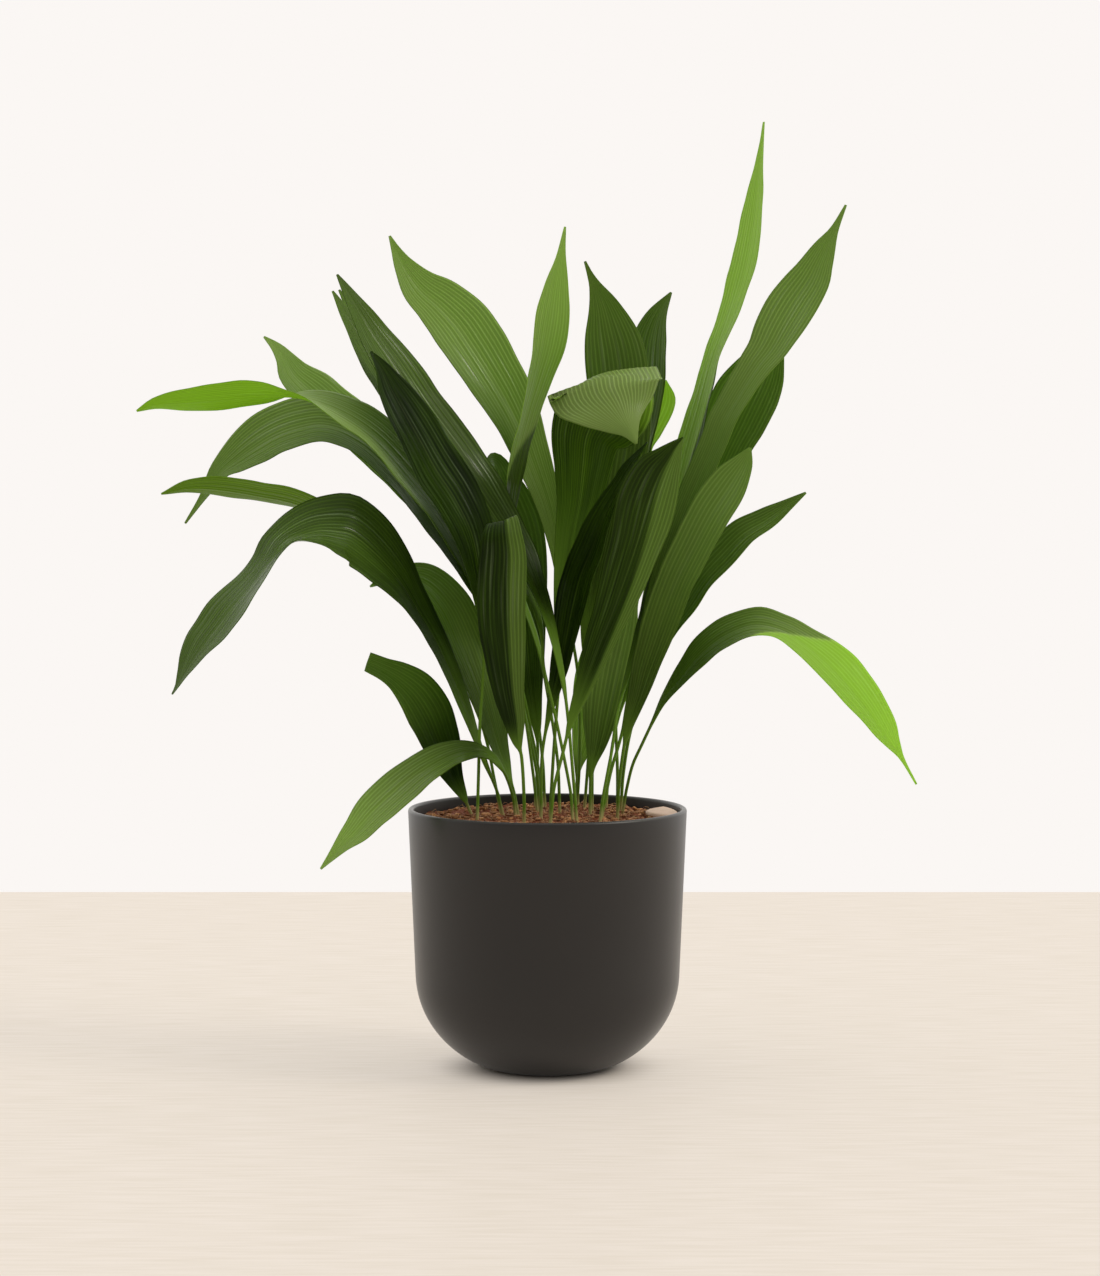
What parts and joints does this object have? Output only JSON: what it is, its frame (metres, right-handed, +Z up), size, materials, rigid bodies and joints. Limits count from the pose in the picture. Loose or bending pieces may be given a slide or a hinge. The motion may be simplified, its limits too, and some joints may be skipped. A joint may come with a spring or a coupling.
{
  "type": "potted foliage plant",
  "caption": "Cast iron plant with long ribbed arching leaves in a round-bottomed charcoal pot filled with soil; stands on the pot's flat foot.",
  "frame": {"origin": "middle of the pot's flat foot, on the surface it stands on", "axes": "+Z up the pot's axis; +X to the right along the plant's widest spread; the picture looks along +Y"},
  "size_m": [0.606, 0.2785, 0.7541],
  "materials": {
    "pot_charcoal": "matte",
    "potting_soil": "matte",
    "pale_bark": "matte",
    "leaf_green": "satin"
  },
  "bodies": {
    "root": {"pot": "pot_charcoal", "soil": "potting_soil", "bark_chip": "pale_bark", "leaf_01": "leaf_green", "leaf_02": "leaf_green", "leaf_03": "leaf_green", "leaf_04": "leaf_green", "leaf_05": "leaf_green", "leaf_06": "leaf_green", "leaf_07": "leaf_green", "leaf_08": "leaf_green", "leaf_09": "leaf_green", "leaf_10": "leaf_green", "leaf_11": "leaf_green", "leaf_12": "leaf_green", "leaf_13": "leaf_green", "leaf_14": "leaf_green", "leaf_15": "leaf_green", "leaf_16": "leaf_green", "leaf_17": "leaf_green", "leaf_18": "leaf_green", "leaf_19": "leaf_green", "leaf_20": "leaf_green", "leaf_21": "leaf_green", "leaf_22": "leaf_green", "leaf_23": "leaf_green", "leaf_24": "leaf_green", "leaf_25": "leaf_green", "leaf_26": "leaf_green", "leaf_27": "leaf_green", "leaf_28": "leaf_green", "leaf_29": "leaf_green", "leaf_30": "leaf_green"}
  },
  "joints": []
}
